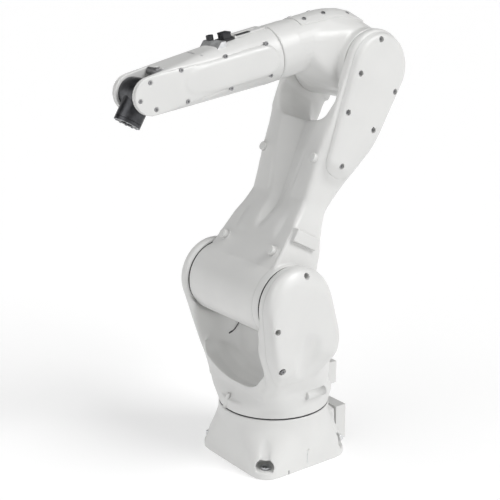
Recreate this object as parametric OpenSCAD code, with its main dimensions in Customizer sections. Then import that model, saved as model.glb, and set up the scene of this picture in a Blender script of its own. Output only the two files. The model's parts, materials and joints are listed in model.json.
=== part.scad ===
// Six-axis bench-top robot arm, drawn in millimetres at its rest pose.
// +X is the arm's forward direction, +Y its left and +Z up.
// The origin is on the first axis, in the plane that the base stands on.

/* [Base] */
// Side of the square foot
base_w = 208; // [200:1:220]
// Corner radius of the foot
base_corner_r = 33; // [28:1:38]
// Height of the base up to the first joint's seam
base_h = 105; // [100:1:112]
// Spacing of the four floor bolts
bolt_spacing = 160; // [156:1:164]
// Radius of a floor bolt hole
bolt_hole_r = 5.5; // [4.5:0.5:6.5]

/* [Turret] */
// Radius of the turning ring at the first joint
ring_r = 104; // [100:1:106]
// How far the shoulder axis lies in front of the first axis
shoulder_x = 52; // [45:1:60]
// Height of the shoulder axis
shoulder_z = 332; // [325:1:345]

/* [Upper arm] */
// Distance from the shoulder axis to the elbow axis
arm_len = 445; // [430:5:460]
// Angle that the upper arm leans back at rest
arm_lean = 28.3; // [20:0.1:35]
// Radius of the shoulder barrel
barrel_r = 66; // [62:1:68]
// Half width of the shoulder barrel
barrel_half = 105.5; // [104:0.5:106]

/* [Elbow and forearm] */
// Radius of the elbow barrel
elbow_r = 64; // [58:1:66]
// Half width of the elbow barrel
elbow_half = 70.6; // [68:0.2:71]
// How far the forearm's axis lies above the elbow axis
forearm_rise = 57; // [50:1:64]
// Angle that the forearm points down at rest
forearm_pitch = 10.8; // [5:0.1:20]
// Distance from the elbow to the wrist along the forearm's axis
forearm_len = 430; // [420:1:445]
// Distance from the elbow to the forearm's turning seam
seam_x = 170; // [165:1:175]
// Radius at the forearm's turning seam
seam_r = 48.5; // [46:0.5:50]

/* [Wrist] */
// Angle that the wrist is bent down from the forearm's axis
wrist_bend = 48.5; // [30:0.5:60]
// Radius of the wrist drum
drum_r = 26; // [24:0.5:28]
// Half width of the wrist drum
drum_half = 24.7; // [23:0.1:25]
// Distance from the wrist axis to the tool flange's face
flange_reach = 52; // [50:1:60]
// Outer radius of the tool flange
flange_r = 22.5; // [22:0.5:24]
// Pitch circle diameter of the four tool screws
tool_pcd = 31.5; // [31.5]
// Radius of the centring bore in the tool flange
tool_bore_r = 10; // [9:0.5:10.5]

/* [Finish] */
// Colour of the painted castings
paint = "#efeee9"; // ["#efeee9", "#e2e2de", "#d8dde2"]
// Colour of the wrist and the black fittings
dark = "#26272b"; // ["#26272b", "#3a3b40"]
// Colour of bare metal
metal = "#b9bbbf"; // ["#b9bbbf", "#9fa2a6"]

/* [Hidden] */
$fn = 96;
// Facets of a circle inside a hull
hull_fn = 32;
// Width of the seams between castings that turn on each other
seam = 0.8;
// Clearance between a hub and the reducer it turns in
run = 0.4;
// A cut runs this far past the face that it opens
over = 1;
// Size and setting of the cover screws
screw_r = 3.6;
screw_head = 2.6;
screw_shank = 7;
screw_shank_r = 1.8;

// Base
foot_h = 20;
base_cavity_r = 84;
base_deck_z = 62;
bottom_plate_h = 4;
rear_box_x = -130;
rear_box_w = 120;
rear_box_h = 70;
rear_box_z = 8;
panel_h = 4;

// First joint's drive
j1_bore_r = 52;
j1_hub_r = 40;

// Turret
turret_z = base_h + seam;
cheek_y = 106.3;
left_face_y = 150;
left_split_y = 124;
flange_t = 4;
long_shank = 26;
right_face_y = 134;
rear_cover_x = -117;

// Shoulder drive
j2_reducer_r = 54;
j2_hub_r = 41;
j2_bearing_r = 42;
j2_trunnion_r = 32;

// Upper arm sections, measured along the arm from the shoulder
waist_z = 172;
flare_z = 256;
fork_z = 335;
crotch_z = 305;
fork_in = elbow_half + seam;
fork_out = 87;
cover_out = 98;

// Elbow drive
j3_reducer_r = 44;
j3_hub_r = 34;
j3_bearing_r = 36;
j3_trunnion_r = 28;
j3_motor_z = 279;
j3_motor_r = 22;
j3_drive_r = 13;
j3_driven_r = 24;
belt_t = 1.6;
belt_w = 7;

// Forearm
end_r = 31;
end_half = 36;
mid_x = 320;
mid_half_w = 41;
mid_half_h = 39;
slot_x = 392;
cover_t = 3;
cover_y_front = 33;
cover_y_rear = 44;
motor_5_x = 268;
motor_6_x = 226;
belt_y = 28.6;
plate_z = 44.5;
small_belt_w = 4;
small_drive_r = 8;
small_driven_r = 14;

// Forearm drive
j4_reducer_r = 40;
j4_hub_r = 30;

// ---- Frames of the moving links -----------------------------------------

// Origin on the shoulder axis, +Z along the upper arm
module arm_frame() {
  translate([shoulder_x, 0, shoulder_z]) rotate([0, -arm_lean, 0]) children();
}

// Origin above the elbow axis on the forearm's axis, +X along the forearm
module forearm_frame() {
  arm_frame() translate([0, 0, arm_len]) rotate([0, arm_lean + forearm_pitch, 0])
    translate([0, 0, forearm_rise]) children();
}

// Origin on the wrist axis, +Z out of the tool flange
module wrist_frame() {
  forearm_frame() translate([forearm_len, 0, 0]) rotate([0, 90 + wrist_bend, 0]) children();
}

// ---- Shapes that repeat --------------------------------------------------

// Cylinder along Y from y0 to y1
module cyl_y(r, y0, y1) {
  translate([0, y0, 0]) rotate([-90, 0, 0]) cylinder(r = r, h = y1 - y0);
}

// Cylinder along X from x0 to x1
module cyl_x(r, x0, x1) {
  translate([x0, 0, 0]) rotate([0, 90, 0]) cylinder(r = r, h = x1 - x0);
}

// Ring along Y
module ring_y(r_out, r_in, y0, y1) {
  difference() {
    cyl_y(r_out, y0, y1);
    cyl_y(r_in, y0 - over, y1 + over);
  }
}

// Box given by its lowest and highest corners
module box(low, high) {
  translate(low) cube(high - low);
}

// Socket-head screw with its head's underside on z = 0 and its shank below
module screw(shank = screw_shank) {
  difference() {
    union() {
      cylinder(r = screw_r, h = screw_head);
      translate([0, 0, -shank]) cylinder(r = screw_shank_r, h = shank + over);
    }
    translate([0, 0, screw_head * 0.4]) cylinder(r = screw_r * 0.55, h = screw_head, $fn = 6);
  }
}

// Counterbore and hole that a screw sits in
module screw_cut(shank = screw_shank) {
  cylinder(r = screw_r + 0.2, h = 12);
  translate([0, 0, -shank - 0.4]) cylinder(r = screw_shank_r + 0.2, h = shank + over);
}

// Turns a child that stands on z = 0 so that it points along Y, towards side * Y
module face_y(side = 1) {
  rotate([-90 * side, 0, 0]) children();
}

// Closed belt round two pulleys in the XZ plane
module belt_xz(a, ra, b, rb, y0, width) {
  translate([0, y0 + width, 0]) rotate([90, 0, 0]) linear_extrude(height = width)
    difference() {
      hull() {
        translate(a) circle(r = ra + belt_t, $fn = 48);
        translate(b) circle(r = rb + belt_t, $fn = 48);
      }
      hull() {
        translate(a) circle(r = ra, $fn = 48);
        translate(b) circle(r = rb, $fn = 48);
      }
    }
}

// Pulley along Y on its shaft
module pulley_y(r, y0, width, shaft_r, shaft_y0, shaft_y1) {
  cyl_y(r - 0.4, y0, y0 + width);
  cyl_y(shaft_r, shaft_y0, shaft_y1);
}

// ---- Base ------------------------------------------------------------------

bolt_xy = [for (sx = [-1, 1], sy = [-1, 1]) [sx, sy] * bolt_spacing / 2];
plate_screws = [for (a = [30 : 60 : 330]) [cos(a), sin(a)] * (base_cavity_r + 3.5)];

module base_casting() color(paint) difference() {
  union() {
    hull() {
      for (sx = [-1, 1], sy = [-1, 1])
        translate([sx, sy, 0] * (base_w / 2 - base_corner_r))
          cylinder(r = base_corner_r, h = foot_h, $fn = hull_fn);
      translate([0, 0, base_h - 16]) cylinder(r = ring_r - 3, h = 4, $fn = hull_fn);
    }
    cylinder(r = ring_r, h = base_h);
    box([rear_box_x + 24, -rear_box_w / 2, rear_box_z], [-70, rear_box_w / 2, rear_box_z + rear_box_h]);
  }
  translate([0, 0, bottom_plate_h]) cylinder(r = base_cavity_r, h = base_deck_z - bottom_plate_h);
  translate([0, 0, -over]) cylinder(r = base_cavity_r + 8, h = bottom_plate_h + over);
  cylinder(r = j1_bore_r, h = base_h + over);
  for (p = bolt_xy) translate(p) {
    translate([0, 0, -over]) cylinder(r = bolt_hole_r, h = foot_h + 2);
    translate([0, 0, 14]) cylinder(r1 = 19, r2 = 4, h = 58);
  }
  for (p = plate_screws) translate(p) translate([0, 0, bottom_plate_h - over]) cylinder(r = 2, h = 9);
  box([rear_box_x + 20, -20, 30], [-60, 20, 60]);
}

module base_bottom_plate() color(metal) difference() {
  translate([0, 0, 0.5]) cylinder(r = base_cavity_r + 7.7, h = bottom_plate_h - 0.5);
  for (p = plate_screws) translate(p) translate([0, 0, -over]) cylinder(r = 2, h = 8);
  for (p = plate_screws) translate(p) translate([0, 0, -over]) cylinder(r = 3.8, h = 3);
}

module rear_connector_box() color(paint) difference() {
  box([rear_box_x + panel_h, -rear_box_w / 2, rear_box_z],
      [rear_box_x + 24, rear_box_w / 2, rear_box_z + rear_box_h]);
  box([rear_box_x, 5 - rear_box_w / 2, rear_box_z + 5],
      [rear_box_x + 20, rear_box_w / 2 - 5, rear_box_z + rear_box_h - 5]);
  box([rear_box_x, -20, 30], [rear_box_x + 30, 20, 60]);
  rear_panel_screws() screw_cut();
}

module rear_panel_screws() {
  for (sy = [-1, 1], sz = [-1, 1])
    translate([rear_box_x + 1.2, sy * (rear_box_w / 2 - 2.5 - screw_r), rear_box_z + rear_box_h / 2 + sz * 28])
      rotate([0, -90, 0]) children();
}

// Height and side of each round connector on the rear panel, with its radius
rear_sockets = [[-30, 54, 15], [12, 54, 12]];
rear_fittings = [-36, -20, -4, 12, 28, 44];

module rear_connector_panel() color(paint) difference() {
  box([rear_box_x, -rear_box_w / 2, rear_box_z],
      [rear_box_x + panel_h, rear_box_w / 2, rear_box_z + rear_box_h]);
  for (s = rear_sockets)
    translate([rear_box_x - over, s[0], s[1]]) rotate([0, 90, 0]) cylinder(r = s[2] - 2, h = panel_h + 2);
  for (y = rear_fittings)
    translate([rear_box_x - over, y, 24]) rotate([0, 90, 0]) cylinder(r = 4, h = panel_h + 2);
  rear_panel_screws() screw_cut();
}

// Round power and signal sockets with a bore for the plug
module rear_connectors() color(dark) for (s = rear_sockets) translate([rear_box_x, s[0], s[1]]) difference() {
  union() {
    rotate([0, -90, 0]) cylinder(r = s[2], h = 9);
    rotate([0, 90, 0]) cylinder(r = s[2] - 2.2, h = 10);
  }
  translate([-4, 0, 0]) rotate([0, -90, 0]) cylinder(r = s[2] - 4, h = 9);
}

module rear_air_fittings() color(metal) for (y = rear_fittings) translate([rear_box_x, y, 24]) difference() {
  union() {
    rotate([0, -90, 0]) cylinder(r = 5.5, h = 3, $fn = 6);
    rotate([0, -90, 0]) cylinder(r = 4.5, h = 8);
    rotate([0, 90, 0]) cylinder(r = 3.8, h = 10);
  }
  translate([-2, 0, 0]) rotate([0, -90, 0]) cylinder(r = 2.2, h = 9);
}

module base_screws() color(dark) {
  rear_panel_screws() screw();
  for (p = plate_screws) translate(p) translate([0, 0, 1.9]) mirror([0, 0, 1]) {
    cylinder(r = 3.5, h = 1.3);
    translate([0, 0, -8]) cylinder(r = 1.8, h = 9);
  }
}

module j1_motor() color(dark) {
  translate([0, 0, 10]) cylinder(r = 36, h = base_deck_z - 10);
  translate([0, 0, base_deck_z - over]) cylinder(r = j1_bore_r, h = 8 + over);
  translate([0, 0, base_deck_z]) cylinder(r = 8, h = 11);
}

module j1_reducer() color(metal) difference() {
  translate([0, 0, base_deck_z + 8]) cylinder(r = j1_bore_r, h = 34);
  translate([0, 0, base_deck_z]) cylinder(r = j1_hub_r + run, h = 50);
}

// ---- Turret ------------------------------------------------------------------

// Posts on the turning ring that carry the cheek on one side
module ring_posts(side) {
  translate([58, side * 62, turret_z + 6]) cylinder(r = 20, h = 6, $fn = hull_fn);
  translate([-48, side * 66, turret_z + 6]) cylinder(r = 20, h = 6, $fn = hull_fn);
}

// Outline of the left cover's raised part in the XZ plane, grown by d
module left_cover_outline(d) {
  hull() {
    translate([50, 304]) circle(r = 75 + d, $fn = 64);
    translate([39, 262]) circle(r = 77 + d, $fn = 64);
    translate([46, 226]) circle(r = 62 + d, $fn = 64);
  }
}

// Slab of the left cover's outline from y0 to y1
module left_cover_slab(d, y0, y1) {
  translate([0, y1, 0]) rotate([90, 0, 0]) linear_extrude(height = y1 - y0) left_cover_outline(d);
}

// Side positions of the left cover's screws: two on its flange and two on its raised part
flange_screws = [[43, 387], [108, 303.5]];
raised_screws = [[95, 227], [-22, 244]];

module flange_screw_places() {
  for (p = flange_screws) translate([p[0], left_split_y + flange_t, p[1]]) face_y(1) children();
}

module raised_screw_places() {
  for (p = raised_screws) translate([p[0], left_face_y - 6, p[1]]) face_y(1) children();
}

// Oval section of a cheek where it narrows down to the turning ring
module cheek_waist(side) {
  translate([51, side * 94, 206]) scale([49, 26, 1]) cylinder(r = 1, h = 4, $fn = hull_fn);
}

// Oval section of the turret's body at the height of the front lip
module turret_lip() {
  translate([5, 0, 157]) scale([83, 92, 1]) cylinder(r = 1, h = 4, $fn = 2 * hull_fn);
}

// Rounded scoop between the cheeks, under the shoulder barrel
module front_scoop() {
  hull() for (side = [-1, 1]) {
    translate([72, side * 50, 196]) sphere(r = 40, $fn = hull_fn);
    translate([72, side * 56, 262]) sphere(r = 40, $fn = hull_fn);
    translate([150, side * 60, 206]) sphere(r = 54, $fn = hull_fn);
    translate([150, side * 60, 262]) sphere(r = 46, $fn = hull_fn);
  }
}

// Turret's body behind and under the scoop
module turret_body_core() {
  translate([0, 0, turret_z]) cylinder(r = ring_r, h = 22);
  hull() {
    translate([0, 0, turret_z + 10]) cylinder(r = 100, h = 4, $fn = 2 * hull_fn);
    turret_lip();
  }
  hull() {
    turret_lip();
    box([-66, -106, 246], [26, 106, 250]);
  }
}

module turret_casting() color(paint) difference() {
  union() {
    turret_body_core();
    hull() {
      translate([shoulder_x, 0, shoulder_z]) rotate([-90, 0, 0])
        translate([0, 0, cheek_y]) cylinder(r = 70, h = left_split_y - cheek_y, $fn = 2 * hull_fn);
      translate([39, left_split_y - 8, 262]) rotate([-90, 0, 0]) cylinder(r = 75, h = 8, $fn = 2 * hull_fn);
      cheek_waist(1);
      ring_posts(1);
    }
    hull() {
      translate([shoulder_x, -right_face_y + 12, shoulder_z]) rotate([-90, 0, 0])
        cylinder(r = 72, h = right_face_y - 12 - cheek_y, $fn = 2 * hull_fn);
      translate([shoulder_x, -right_face_y, shoulder_z]) rotate([-90, 0, 0])
        cylinder(r = 60, h = 4, $fn = 2 * hull_fn);
      cheek_waist(-1);
      ring_posts(-1);
    }
    // stops for the first joint and the hose rest on the left
    translate([-36, 101, 148]) rotate([0, 90, 0]) cylinder(r = 9, h = 44);
    hull() {
      translate([70, -64, turret_z + 4]) cylinder(r = 8, h = 4, $fn = hull_fn);
      translate([74, -70, turret_z + 30]) cylinder(r = 4, h = 4, $fn = hull_fn);
      translate([60, -50, turret_z + 4]) cylinder(r = 8, h = 4, $fn = hull_fn);
    }
  }
  // room for the shoulder barrel and the upper arm
  translate([shoulder_x, 0, shoulder_z]) cyl_y(barrel_r + 4, -cheek_y, cheek_y);
  box([-120, -cheek_y, 300], [160, cheek_y, 460]);
  box([-120, -cheek_y, 262], [30, cheek_y, 310]);
  front_scoop();
  translate([shoulder_x, 0, shoulder_z]) {
    cyl_y(j2_hub_r, cheek_y - over, cheek_y + 6);
    cyl_y(44, cheek_y + 6, left_split_y + over);
    cyl_y(j2_trunnion_r, -cheek_y - 16, -cheek_y + over);
  }
  // cable space up through the ring
  translate([0, 0, turret_z - over]) cylinder(r = j1_hub_r, h = 13);
  translate([0, 0, turret_z + 11]) cylinder(r = 14, h = 160);
  flange_screw_places() screw_cut();
  raised_screw_places() screw_cut(long_shank);
  rear_cover_screw_places() screw_cut();
}

module turret_left_cover() color(paint) difference() {
  union() {
    hull() {
      left_cover_slab(-1, left_split_y, left_split_y + flange_t);
      translate([shoulder_x, left_split_y, shoulder_z]) rotate([-90, 0, 0])
        cylinder(r = 69, h = flange_t, $fn = 2 * hull_fn);
    }
    hull() {
      left_cover_slab(0, left_split_y + flange_t - over, left_split_y + 14);
      left_cover_slab(-3, left_split_y + 20, left_split_y + 21);
      left_cover_slab(-9, left_face_y - over, left_face_y);
    }
  }
  translate([shoulder_x, 0, shoulder_z]) cyl_y(46, left_split_y - over, left_face_y - 4);
  flange_screw_places() screw_cut();
  raised_screw_places() screw_cut(long_shank);
}

module rear_cover_screw_places() {
  for (sy = [-1, 1], z = [128, 158]) translate([rear_cover_x + 1.5, sy * 38, z]) rotate([0, -90, 0]) children();
}

module turret_rear_cover() color(paint) difference() {
  box([rear_cover_x, -45, 121], [-60, 45, 165]);
  turret_body_core();
  rear_cover_screw_places() screw_cut();
}

module turret_screws() color(dark) {
  flange_screw_places() screw();
  raised_screw_places() screw(long_shank);
  rear_cover_screw_places() screw();
}

// Bent clip that holds a hose against the back of the scoop
module cable_clip() color(dark) translate([33, -58, 214]) {
  cube([5, 14, 20]);
  translate([4, 0, 0]) cube([15, 14, 3]);
  translate([16, 0, 2]) cube([3, 14, 9]);
}

module j1_output_hub() color(metal) difference() {
  translate([0, 0, base_deck_z + 12]) cylinder(r = j1_hub_r, h = turret_z + 12 - base_deck_z - 12);
  translate([0, 0, base_deck_z]) cylinder(r = 12, h = 80);
}

module j2_motor() color(dark) translate([shoulder_x, 0, shoulder_z]) {
  cyl_y(43.6, cheek_y + 6, left_face_y - 6);
}

module j2_output_hub() color(metal) translate([shoulder_x, 0, shoulder_z])
  cyl_y(j2_hub_r, 72, cheek_y + 6);

module j2_trunnion() color(metal) translate([shoulder_x, 0, shoulder_z])
  cyl_y(j2_trunnion_r, -cheek_y - 16, -88);

// ---- Upper arm -----------------------------------------------------------------

// Slab of the belt cover's outline, grown by d, from y0 to y1
module belt_cover_slab(d, y0, y1) {
  translate([0, y1, 0]) rotate([90, 0, 0]) linear_extrude(height = y1 - y0) hull() {
    translate([-4, arm_len - 3]) circle(r = 62 + d, $fn = 64);
    translate([-16, 316]) circle(r = 45 + d, $fn = 64);
    translate([-6, 258]) circle(r = 34 + d, $fn = 48);
  }
}

belt_screws = [[24, 485], [38, 414], [30, 344], [-4, 256], [-40, 340], [-54, 420]];

module belt_screw_places() {
  for (p = belt_screws) translate([p[0], fork_out + 5, p[1]]) face_y(1) children();
}

module elbow_cap_screw_places() {
  for (a = [0 : 60 : 300]) translate([50 * cos(a), -fork_out - 5, arm_len + 50 * sin(a)])
    face_y(-1) children();
}

// Height along the arm and distance forwards of the threaded bosses
arm_boss_zx = [[73, 55], [250, 45]];

module arm_boss_places() {
  for (p = arm_boss_zx, sy = [-1, 1]) translate([p[1], sy * 70, p[0]]) rotate([0, 90, 0]) children();
}

module arm_waist() {
  box([-31, -78, waist_z], [27, 78, waist_z + 4]);
}

module arm_flare() {
  box([-52, -82, flare_z], [42, 82, flare_z + 4]);
}

module upper_arm_casting() color(paint) arm_frame() difference() {
  union() {
    cyl_y(barrel_r, -barrel_half, barrel_half);
    hull() {
      cyl_y_coarse(58, -99, 99);
      arm_waist();
    }
    hull() {
      arm_waist();
      arm_flare();
    }
    hull() {
      arm_flare();
      box([-62, -fork_out, fork_z], [51, fork_out, fork_z + 4]);
    }
    for (side = [-1, 1]) hull() {
      box([-62, min(side * fork_out, side * 60), fork_z], [51, max(side * fork_out, side * 60), fork_z + 4]);
      translate([0, 0, arm_len]) cyl_y_coarse(64, min(side * fork_in, side * 82),
                                              max(side * fork_in, side * 82));
      translate([0, 0, arm_len]) cyl_y_coarse(62, min(side * 82, side * fork_out),
                                              max(side * 82, side * fork_out));
    }
    belt_cover_slab(0, 66, fork_out);
    box([-20, 70, 102], [36, 99, 124]);
    arm_boss_places() translate([0, 0, -16]) cylinder(r = 7.5, h = 16);
  }
  crotch_cut();
  front_groove();
  // shoulder barrel bores
  cyl_y(44, -90, 70);
  cyl_y(j2_reducer_r, 66, barrel_half + over);
  cyl_y(j2_bearing_r, -barrel_half - over, -84);
  // elbow bores
  translate([0, 0, arm_len]) {
    cyl_y(j3_hub_r, fork_in - over, fork_out + over);
    cyl_y(j3_trunnion_r, -fork_out - over, -fork_in + over);
  }
  // motor pocket behind the belt cover
  translate([0, 0, j3_motor_z]) cyl_y(j3_motor_r + 0.4, -30, fork_out + over);
  belt_screw_places() screw_cut();
  elbow_cap_screw_places() screw_cut();
  arm_boss_places() translate([0, 0, -12]) cylinder(r = 3, h = 14);
}

// Faceted cylinder along Y for use inside a hull
module cyl_y_coarse(r, y0, y1) {
  translate([0, y0, 0]) rotate([-90, 0, 0]) cylinder(r = r, h = y1 - y0, $fn = hull_fn);
}

// Faceted cylinder along X for use inside a hull
module cyl_x_coarse(r, x0, x1) {
  translate([x0, 0, 0]) rotate([0, 90, 0]) cylinder(r = r, h = x1 - x0, $fn = hull_fn);
}

// Gap between the arms of the fork, with a rounded V at its foot
module crotch_cut() {
  corner = 40;
  rotate([90, 0, 90]) translate([0, 0, -100]) linear_extrude(height = 200) offset(r = corner, $fn = 64)
    polygon([[0, crotch_z + corner], [fork_in - corner, 372], [fork_in - corner, arm_len + 80],
             [corner - fork_in, arm_len + 80], [corner - fork_in, 372]]);
  // wider towards the rear
  translate([-22, 0, 385]) rotate([90, 0, -90]) linear_extrude(height = 50, scale = [1.14, 1.25], slices = 1)
    polygon([[-fork_in, 0], [-fork_in, -14], [-52, -52], [-24, -74], [0, crotch_z - 385],
             [24, -74], [52, -52], [fork_in, -14], [fork_in, 0]]);
}

// Rounded valley down the front of the arm
module front_groove() {
  translate([77, 0, 150]) rotate([0, 3.2, 0]) hull() {
    sphere(r = 60, $fn = 48);
    cylinder(r = 60, h = 200, $fn = 48);
  }
}

module belt_cover() color(paint) arm_frame() difference() {
  hull() {
    belt_cover_slab(0, fork_out, fork_out + 5);
    belt_cover_slab(-6, cover_out - 1, cover_out);
  }
  translate([0, cover_out - 2.5, 0]) rotate([90, 0, 0])
    linear_extrude(height = cover_out - fork_out) hull() {
      translate([0, arm_len]) circle(r = j3_driven_r + 5, $fn = 48);
      translate([0, j3_motor_z]) circle(r = j3_drive_r + 5, $fn = 48);
    }
  belt_screw_places() screw_cut();
}

module elbow_right_cap() color(paint) arm_frame() difference() {
  translate([0, 0, arm_len]) hull() {
    cyl_y_coarse(60, -fork_out - 5, -fork_out);
    cyl_y_coarse(52, -cover_out, -cover_out + 1);
  }
  elbow_cap_screw_places() screw_cut();
}

module arm_screws() color(dark) arm_frame() {
  belt_screw_places() screw();
  elbow_cap_screw_places() screw();
}

module arm_plugs() color(paint) arm_frame() arm_boss_places() {
  cylinder(r = 5, h = 1.6);
  translate([0, 0, -6]) cylinder(r = 2.9, h = 6 + over);
}

module j2_reducer() color(metal) arm_frame() ring_y(j2_reducer_r, j2_hub_r + run, 66, 104);

module j2_bearing() color(metal) arm_frame() ring_y(j2_bearing_r, j2_trunnion_r + run, -104, -84);

module j3_motor() color(dark) arm_frame() translate([0, 0, j3_motor_z]) {
  cyl_y(j3_motor_r, -28, fork_out - 8);
  cyl_y(5, fork_out - 9, fork_out);
}

module j3_belt() color(dark) arm_frame()
  belt_xz([0, j3_motor_z], j3_drive_r, [0, arm_len], j3_driven_r, fork_out + 1, belt_w);

module j3_output_hub() color(metal) arm_frame() translate([0, 0, arm_len])
  ring_y(j3_hub_r, 8, 40, fork_out - 0.5);

module j3_trunnion() color(metal) arm_frame() translate([0, 0, arm_len])
  cyl_y(j3_trunnion_r, -fork_out + 0.5, -52);

module j3_motor_pulley() color(metal) arm_frame() translate([0, 0, j3_motor_z])
  pulley_y(j3_drive_r, fork_out + 1, belt_w, 4.5, fork_out + 0.4, fork_out + 1.5);

module j3_input_pulley() color(metal) arm_frame() translate([0, 0, arm_len])
  pulley_y(j3_driven_r, fork_out + 1, belt_w, 6, 34, fork_out + 1.5);

// ---- Elbow -----------------------------------------------------------------

// Distance along the forearm's axis, side and height of the lid's screws
elbow_lid_screws = [[96, 20, 43.5], [96, -20, 43.5], [52, 20, 43.5], [52, -20, 43.5], [-2, 20, 31], [-2, -20, 31]];

module elbow_axis() {
  translate([0, 0, -forearm_rise]) children();
}

module elbow_lid_screw_places() {
  for (p = elbow_lid_screws) translate(p) rotate([-24 * sign(p[1]), p[0] < 0 ? -28 : 0, 0]) children();
}

// Tube of the elbow with its domed rear end, and its blend into the barrel, grown by d
module elbow_dome(d) {
  hull() {
    cyl_x_coarse(46 + d, 50, 112);
    cyl_x_coarse(44 + d, 30, 31);
    cyl_x_coarse(39 + d, 6, 7);
    cyl_x_coarse(30 + d, -16, -15);
    cyl_x_coarse(19 + d, -32, -31);
    elbow_axis() cyl_y_coarse(elbow_r - 2 + d, -56, 56);
  }
}

// Widening of the barrel towards the forearm's seam, grown by d
module elbow_bell(d) {
  hull() {
    cyl_x_coarse(46 + d, 60, 112);
    cyl_x_coarse(seam_r - 0.2 + d, seam_x - 40, seam_x - 10);
  }
}

module elbow_housing() color(paint) forearm_frame() difference() {
  union() {
    elbow_axis() cyl_y(elbow_r, -elbow_half, elbow_half);
    cyl_x(seam_r, 128, seam_x - seam / 2);
    elbow_dome(0);
    elbow_bell(0);
  }
  // bores of the elbow axis
  elbow_axis() {
    cyl_y(j3_reducer_r, 36, elbow_half + over);
    cyl_y(j3_bearing_r, -elbow_half - over, -52);
    cyl_y(22, -53, 37);
  }
  // bores of the forearm's axis
  cyl_x(j4_reducer_r, 130, seam_x + over);
  cyl_x(28, 44, 131);
  elbow_lid_screw_places() screw_cut();
}

module elbow_top_cover() color(paint) forearm_frame() difference() {
  intersection() {
    elbow_dome(3);
    box([-30, -30, 8], [111, 30, 60]);
  }
  elbow_dome(0.1);
  elbow_bell(0.1);
  elbow_axis() cyl_y(elbow_r + 0.1, -elbow_half, elbow_half);
  elbow_lid_screw_places() screw_cut();
}

module elbow_screws() color(dark) forearm_frame() elbow_lid_screw_places() screw();

module j3_reducer() color(metal) forearm_frame() elbow_axis()
  ring_y(j3_reducer_r, j3_hub_r + run, 36, elbow_half - 1);

module j3_bearing() color(metal) forearm_frame() elbow_axis()
  ring_y(j3_bearing_r, j3_trunnion_r + run, -elbow_half + 1, -52);

module j4_motor() color(dark) forearm_frame() {
  cyl_x(27.6, 48, 130);
  cyl_x(6, 129, 136);
}

module j4_reducer() color(metal) forearm_frame() difference() {
  cyl_x(j4_reducer_r, 131, seam_x - 1);
  cyl_x(j4_hub_r + run, 130, seam_x);
}

// ---- Forearm -----------------------------------------------------------------

// Outside of the forearm before its covers are split off
module forearm_form() {
  cyl_x(seam_r, seam_x + seam / 2, seam_x + 26);
  hull() {
    cyl_x_coarse(seam_r - 0.3, seam_x + 2, seam_x + 28);
    forearm_middle();
  }
  hull() {
    forearm_middle();
    translate([forearm_len, 0, 0]) cyl_y_coarse(end_r, -end_half, end_half);
  }
}

module forearm_middle() {
  for (sy = [-1, 1], sz = [-1, 1]) translate([0, sy * (mid_half_w - 22), sz * (mid_half_h - 22)])
    cyl_x_coarse(22, mid_x - 4, mid_x + 4);
}

cover_slope = atan((cover_y_rear - cover_y_front) / (forearm_len - seam_x - 22));

// Space outside the face that a side cover is fitted to
module cover_space(side) {
  scale([1, side, 1]) translate([seam_x + 22, cover_y_rear, -60]) rotate([0, 0, -cover_slope])
    cube([320, 40, 120]);
}

// Raised round-nosed bulge on each side cover, over the wrist motors
module cover_bulge(side) {
  hull() {
    translate([356, 0, 2]) cyl_y_coarse(15, min(side * 34, side * 41.5), max(side * 34, side * 41.5));
    translate([280, 0, 1]) cyl_y_coarse(25, min(side * 36, side * 46), max(side * 36, side * 46));
    translate([224, 0, 1]) cyl_y_coarse(25, min(side * 36, side * 50), max(side * 36, side * 50));
  }
}

forearm_screw_xz = [[429, 22], [452, -2], [427, -22], [368, -25], [283, -26], [202, -25],
                    [370, 27], [284, 28], [202, 29]];

module forearm_screw_places(side) {
  for (p = forearm_screw_xz)
    translate([p[0], side * (cover_y_front + (forearm_len - p[0]) * tan(cover_slope) + 0.6), p[1]])
      rotate([0, 0, -side * cover_slope]) face_y(side) children();
}

// Room for the belt that runs under a side cover
module belt_room(side, x) {
  y0 = belt_y - 0.6;
  translate([0, side > 0 ? 60 : -y0, 0]) rotate([90, 0, 0]) linear_extrude(height = 60 - y0) hull() {
    translate([forearm_len, 0]) circle(r = small_driven_r + 4, $fn = 48);
    translate([x, 0]) circle(r = 21, $fn = 48);
  }
}

// Room inside a side cover, 2.6 mm below its outside
module belt_room_cover(side, x) {
  intersection() {
    belt_room(side, x);
    scale([1, side, 1]) translate([forearm_len, end_half - 2.2 - 40, -60]) rotate([0, 0, 180 - cover_slope])
      translate([-60, -40, 0]) cube([320, 40, 120]);
  }
}

module forearm_casting() color(paint) forearm_frame() difference() {
  forearm_form();
  cover_space(1);
  cover_space(-1);
  // slot that the wrist turns in
  box([slot_x, -drum_half - 0.6, -60], [forearm_len + 60, drum_half + 0.6, 60]);
  translate([slot_x, 0, -60]) cylinder(r = 6, h = 120);
  belt_room(1, motor_5_x);
  belt_room(-1, motor_6_x);
  translate([motor_5_x, 0, 0]) cyl_y(18, -24, belt_y);
  translate([motor_6_x, 0, 0]) cyl_y(18, -belt_y, 24);
  // wrist shafts and the hub at the rear
  translate([forearm_len, 0, 0]) cyl_y(8.5, -belt_y, belt_y);
  cyl_x(j4_hub_r, seam_x, seam_x + 12);
  cyl_x(12, seam_x, motor_6_x);
  forearm_screw_places(1) screw_cut();
  forearm_screw_places(-1) screw_cut();
  top_cut();
}

// Flat on top of the forearm that the plate and the connectors stand on
module top_cut() {
  box([seam_x + 7, -15, plate_z], [268, 15, 60]);
}

module forearm_side_cover(side, x) {
  difference() {
    union() {
      intersection() {
        forearm_form();
        cover_space(side);
      }
      intersection() {
        cover_bulge(side);
        cover_space(side);
      }
    }
    belt_room_cover(side, x);
    forearm_screw_places(side) screw_cut();
  }
}

module forearm_left_cover() color(paint) forearm_frame() forearm_side_cover(1, motor_5_x);

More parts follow.
